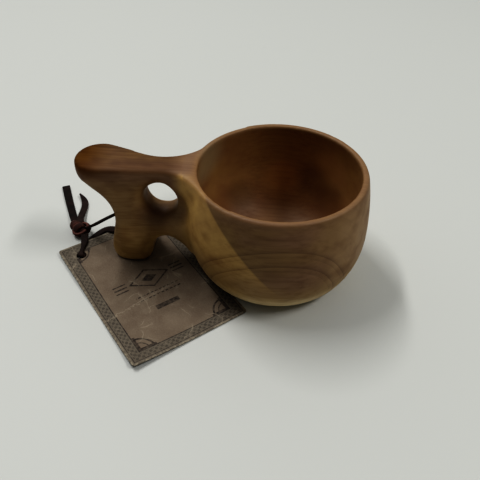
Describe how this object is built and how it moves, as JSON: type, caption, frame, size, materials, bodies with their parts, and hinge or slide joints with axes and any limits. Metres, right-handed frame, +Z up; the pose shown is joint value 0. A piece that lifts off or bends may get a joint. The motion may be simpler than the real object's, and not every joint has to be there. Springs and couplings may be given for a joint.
{
  "type": "wooden drinking cup",
  "caption": "Carved wooden kuksa cup with a rounded bowl, a two-finger handle with a thumb rest, and a knotted leather lace that holds a card tag.",
  "frame": {"origin": "centre of the foot, on the surface that the cup stands on", "axes": "+Z up out of the bowl's mouth, +X from the handle towards the bowl, so the handle points along -X, and +Y the far side when the handle is on the left"},
  "size_m": [0.1849, 0.1331, 0.061],
  "materials": {
    "oiled_hardwood": "oiled, satin",
    "leather": "dark oiled thong, matt",
    "kraft_card": "worn kraft card, matt"
  },
  "bodies": {
    "cup": {"kuksa": "oiled_hardwood", "lace_upper": "leather", "lace_lower": "leather", "lace_tail_straight": "leather", "lace_tail_curled": "leather", "knot": "leather"},
    "tag": {"tag": "kraft_card"}
  },
  "joints": [
    {"name": "tag_swing", "type": "hinge", "parent": "cup", "child": "tag", "pos_m": [-0.1061, -0.0112, 0], "axis": [0, 0, 1], "range_deg": [-90, 0]}
  ]
}
